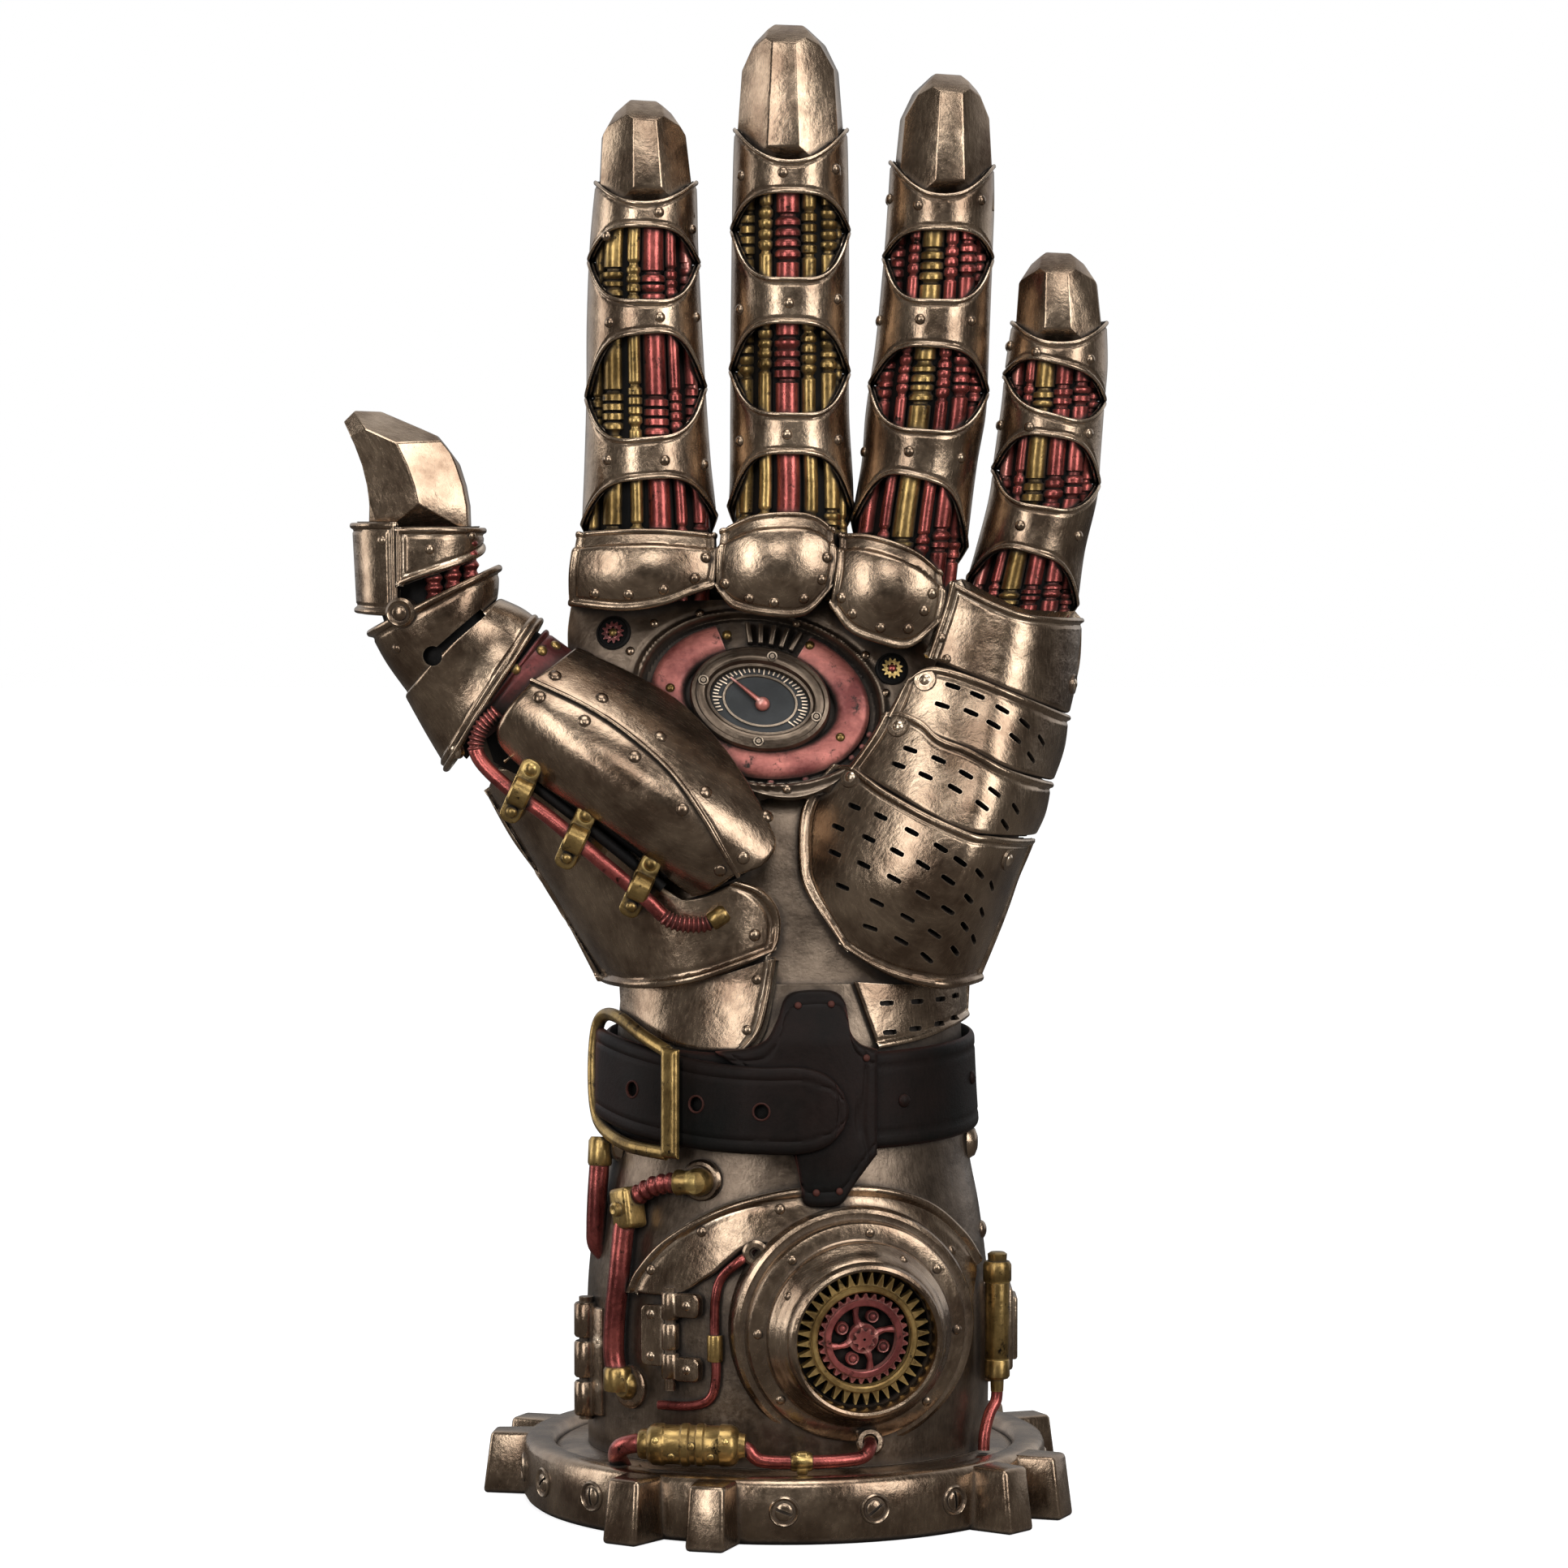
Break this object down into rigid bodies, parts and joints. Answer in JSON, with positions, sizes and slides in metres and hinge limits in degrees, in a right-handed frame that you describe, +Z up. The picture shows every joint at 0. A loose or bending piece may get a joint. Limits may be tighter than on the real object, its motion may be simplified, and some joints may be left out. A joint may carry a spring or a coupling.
{
  "type": "armoured mechanical hand sculpture on a gear-shaped base",
  "caption": "Upright open left hand in riveted bronze armour with piston fingers, a palm gauge, a strapped wrist and a porthole cuff, on a toothed round base.",
  "frame": {"origin": "middle of the round base's underside", "axes": "+Z up along the hand to the middle fingertip, palm facing -Y, thumb towards -X and little finger towards +X"},
  "size_m": [0.1537, 0.1231, 0.3004],
  "materials": {
    "bronze": "antique cast bronze, dark wash in the recesses, polished highlights",
    "dark_bronze": "blackened bronze",
    "gold_paint": "worn mustard gold paint over black",
    "red_paint": "worn metallic red paint with a dark wash",
    "leather": "cast leather, near-black with reddish-brown rubbed edges",
    "dial": "matte charcoal dial"
  },
  "bodies": {
    "root": {"base_gear": "bronze", "porthole_housing": "bronze", "porthole_ring_gear": "gold_paint", "porthole_gear": "red_paint", "forearm": "bronze", "cuff_guard": "bronze", "wrist_plate_left": "bronze", "wrist_plate_right": "bronze", "strap": "leather", "leather_tab": "leather", "strap_tongue": "leather", "buckle": "gold_paint", "arm_hose": "red_paint", "side_hose": "red_paint", "cuff_pipe": "red_paint", "cuff_hinge": "bronze", "side_cylinder": "gold_paint", "base_pipe": "gold_paint", "index_band_upper": "bronze", "index_band_middle": "bronze", "index_band_lower": "bronze", "middle_band_upper": "bronze", "middle_band_middle": "bronze", "middle_band_lower": "bronze", "ring_band_upper": "bronze", "ring_band_middle": "bronze", "ring_band_lower": "bronze", "little_band_upper": "bronze", "little_band_middle": "bronze", "little_band_lower": "bronze", "index_tip": "bronze", "middle_tip": "bronze", "ring_tip": "bronze", "little_tip": "bronze", "pad_index": "bronze", "pad_middle": "bronze", "pad_ring": "bronze", "little_base_plate": "bronze", "lame_1": "bronze", "lame_2": "bronze", "lame_3": "bronze", "gauge_bezel": "bronze", "gauge_dial": "dial", "gauge_arc": "red_paint", "thenar_plate_upper": "bronze", "thenar_plate_lower": "bronze", "thenar_base": "bronze", "thenar_hose": "red_paint", "hose_clamps": "gold_paint", "thumb_housing": "bronze", "thumb_shell": "bronze", "thumb_core": "dark_bronze", "thumb_tip": "bronze", "thumb_collar": "red_paint", "gauge_plate": "bronze", "back_plate": "bronze", "hand_core": "dark_bronze"}
  },
  "joints": []
}
